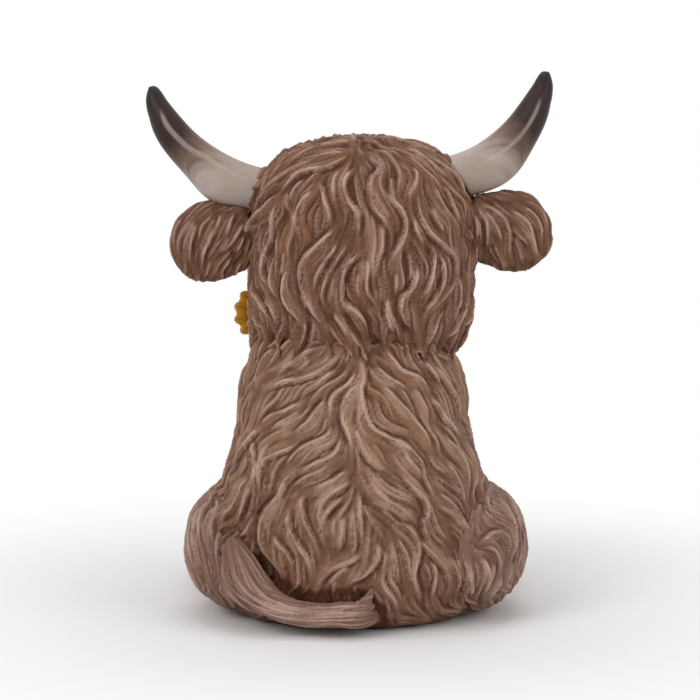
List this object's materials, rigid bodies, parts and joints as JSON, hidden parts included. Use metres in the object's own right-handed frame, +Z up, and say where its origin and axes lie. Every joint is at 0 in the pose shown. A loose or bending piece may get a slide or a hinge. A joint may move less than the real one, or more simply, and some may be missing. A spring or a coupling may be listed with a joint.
{
  "type": "cow figurine",
  "caption": "Seated long-haired cow ornament in painted cast resin, with curved horns, shaggy ears, a curled tail and a flower in its mouth.",
  "frame": {"origin": "on the table under the figurine, on the underside of its felt base", "axes": "+Z up, +Y the way the cow faces, -X the cow's own left"},
  "size_m": [0.1212, 0.1075, 0.161],
  "materials": {
    "painted_hair": "cast resin, brown paint washed dark in the hollows and dry-brushed beige on the locks",
    "painted_horn": "cast resin, cream-grey fading to dark brown at the tips, satin",
    "dowel_steel": "plain steel pin",
    "glossy_eye": "black-brown gloss varnish",
    "painted_muzzle": "cast resin, pinkish beige with darker nostrils",
    "painted_hoof": "cast resin, dark brown satin",
    "painted_petal": "cast resin, yellow with worn pale tips",
    "painted_seeds": "cast resin, dark brown stipple",
    "painted_stem": "cast resin, leaf green",
    "bare_resin": "bare cast resin",
    "base_felt": "dark brown felt"
  },
  "bodies": {
    "root": {"torso_casting": "painted_hair", "head_casting": "painted_hair", "forelock": "painted_hair", "left_ear": "painted_hair", "right_ear": "painted_hair", "left_foreleg": "painted_hair", "right_foreleg": "painted_hair", "left_hind_leg": "painted_hair", "right_hind_leg": "painted_hair", "tail": "painted_hair", "left_horn": "painted_horn", "right_horn": "painted_horn", "horn_dowels": "dowel_steel", "left_eye": "glossy_eye", "right_eye": "glossy_eye", "muzzle": "painted_muzzle", "left_fore_hoof": "painted_hoof", "right_fore_hoof": "painted_hoof", "left_hind_hoof": "painted_hoof", "right_hind_hoof": "painted_hoof", "flower_petals": "painted_petal", "flower_disc": "painted_seeds", "flower_stem": "painted_stem", "flower_leaf": "painted_stem", "base_plug": "bare_resin", "base_felt": "base_felt"}
  },
  "joints": []
}
